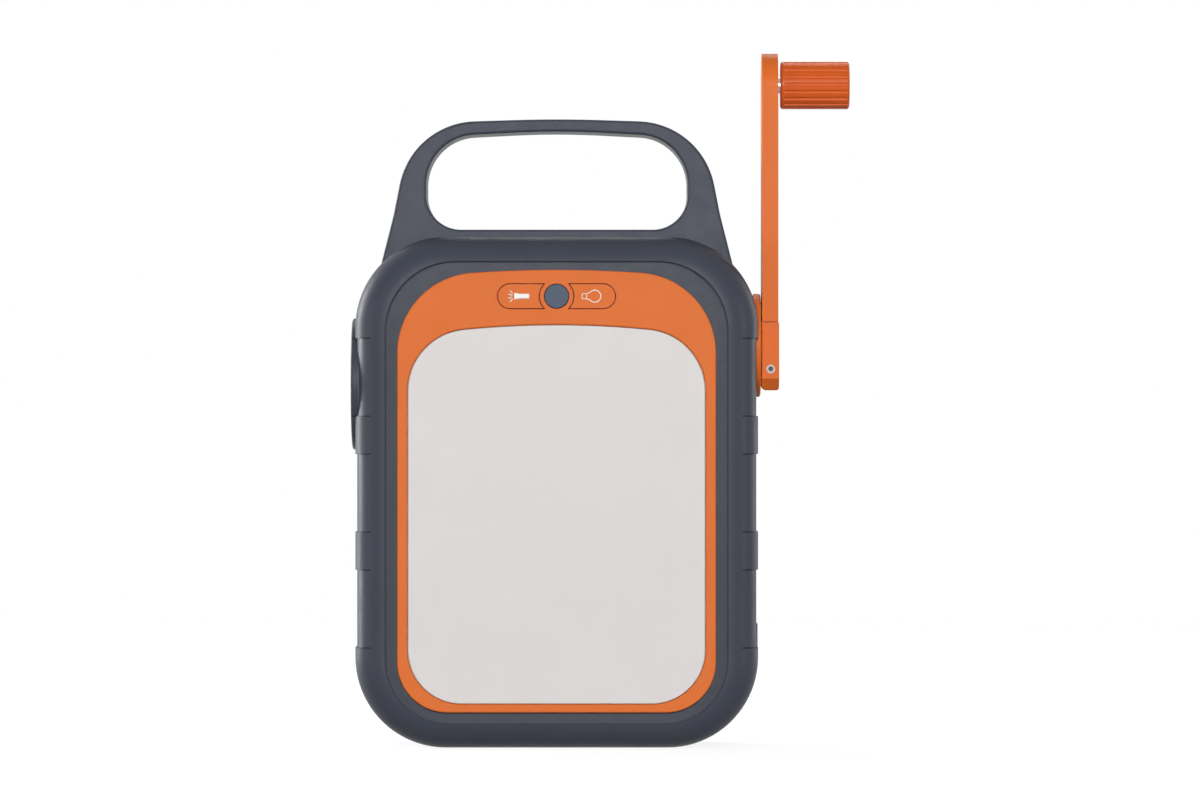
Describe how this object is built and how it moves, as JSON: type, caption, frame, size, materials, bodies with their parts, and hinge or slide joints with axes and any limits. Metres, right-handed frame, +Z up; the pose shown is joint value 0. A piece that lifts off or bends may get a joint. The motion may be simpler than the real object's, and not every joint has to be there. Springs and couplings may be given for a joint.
{
  "type": "hand crank phone charger",
  "caption": "Upright hand crank phone charger with a carrying handle, lantern front, side torch and a folding crank that drives a geared generator.",
  "frame": {"origin": "centre of the flat base, at mid depth of the case", "axes": "+Z up, -Y out of the lantern front, +X towards the crank side"},
  "size_m": [0.18, 0.0616, 0.2507],
  "materials": {
    "case_plastic": "fine satin moulded",
    "orange_plastic": "fine satin moulded",
    "key_rubber": "soft matte",
    "diffuser_plastic": "milky satin",
    "white_plastic": "matte",
    "circuit_board": "satin",
    "led_yellow": "gloss",
    "black_parts": "matte",
    "steel": "bright",
    "chromed_plastic": "mirror bright",
    "clear_lens": "polished",
    "gear_plastic": "satin",
    "brass": "bright",
    "cell_wrap": "gloss sleeve"
  },
  "bodies": {
    "case": {"battery_cells": "cell_wrap", "battery_cradle": "white_plastic", "board_capacitors": "black_parts", "board_chips": "black_parts", "case_screws": "steel", "charge_coil": "black_parts", "crank_bushes": "brass", "diffuser": "diffuser_plastic", "front_bezel": "orange_plastic", "front_shell": "case_plastic", "gearbox_cover": "white_plastic", "gearbox_frame": "white_plastic", "gearbox_screws": "steel", "generator_can": "steel", "generator_cap": "steel", "handle": "case_plastic", "idler_axle": "steel", "key_board": "circuit_board", "key_switches": "black_parts", "knob_pocket": "case_plastic", "lantern_board": "circuit_board", "lantern_leds": "led_yellow", "light_tray": "white_plastic", "main_board": "circuit_board", "port_board": "circuit_board", "port_posts": "black_parts", "rear_shell": "case_plastic", "shaft_seal": "key_rubber", "small_socket": "steel", "stator_coil": "brass", "torch_bezel": "case_plastic", "torch_board": "circuit_board", "torch_led": "led_yellow", "torch_lens": "clear_lens", "torch_nut": "case_plastic", "torch_reflector": "chromed_plastic", "torch_seal": "key_rubber", "wide_socket": "steel"},
    "crank": {"crank_shaft": "steel", "crank_gear": "gear_plastic", "shaft_clip": "steel", "crank_hub": "orange_plastic", "hub_screw": "steel", "crank_yoke": "orange_plastic", "fold_pin": "steel"},
    "arm": {"crank_arm": "orange_plastic", "knob_spindle": "steel"},
    "knob": {"knob_grip": "orange_plastic", "knob_cap": "orange_plastic"},
    "idler": {"idler_gear": "gear_plastic"},
    "rotor": {"generator_pinion": "brass", "generator_shaft": "steel", "rotor_magnet": "steel"},
    "power_key": {"power_button": "key_rubber"},
    "torch_key": {"torch_button": "orange_plastic"},
    "lantern_key": {"lantern_button": "orange_plastic"},
    "door": {"port_door": "case_plastic"}
  },
  "joints": [
    {"name": "crank_spin", "type": "hinge", "parent": "case", "child": "crank", "pos_m": [0.0725, 0, 0.1449], "axis": [1, 0, 0], "continuous": true},
    {"name": "crank_fold", "type": "hinge", "parent": "crank", "child": "arm", "pos_m": [0.07725, 0, 0.1363], "axis": [0, 1, 0], "range_deg": [0, 180]},
    {"name": "knob_spin", "type": "hinge", "parent": "arm", "child": "knob", "pos_m": [0.081, 0, 0.2392], "axis": [1, 0, 0], "continuous": true},
    {"name": "idler_spin", "type": "hinge", "parent": "case", "child": "idler", "pos_m": [0.056, 0.006, 0.12477], "axis": [1, 0, 0], "continuous": true},
    {"name": "rotor_spin", "type": "hinge", "parent": "case", "child": "rotor", "pos_m": [0.05, 0.006, 0.10477], "axis": [1, 0, 0], "continuous": true},
    {"name": "power_press", "type": "slide", "parent": "case", "child": "power_key", "axis": [0, 1, 0], "range_m": [0, 0.0008], "stiffness_N_per_m": 800, "springref_m": -0.0005},
    {"name": "torch_press", "type": "slide", "parent": "case", "child": "torch_key", "axis": [0, 1, 0], "range_m": [0, 0.0008], "stiffness_N_per_m": 800, "springref_m": -0.0005},
    {"name": "lantern_press", "type": "slide", "parent": "case", "child": "lantern_key", "axis": [0, 1, 0], "range_m": [0, 0.0008], "stiffness_N_per_m": 800, "springref_m": -0.0005},
    {"name": "door_swing", "type": "hinge", "parent": "case", "child": "door", "pos_m": [-0.07095, 0, 0.0813], "axis": [0, -1, 0], "range_deg": [0, 100]}
  ],
  "couplings": [
    {"joint": "idler_spin", "follows": "crank_spin", "ratio": -3.2},
    {"joint": "rotor_spin", "follows": "crank_spin", "ratio": 12.8}
  ]
}
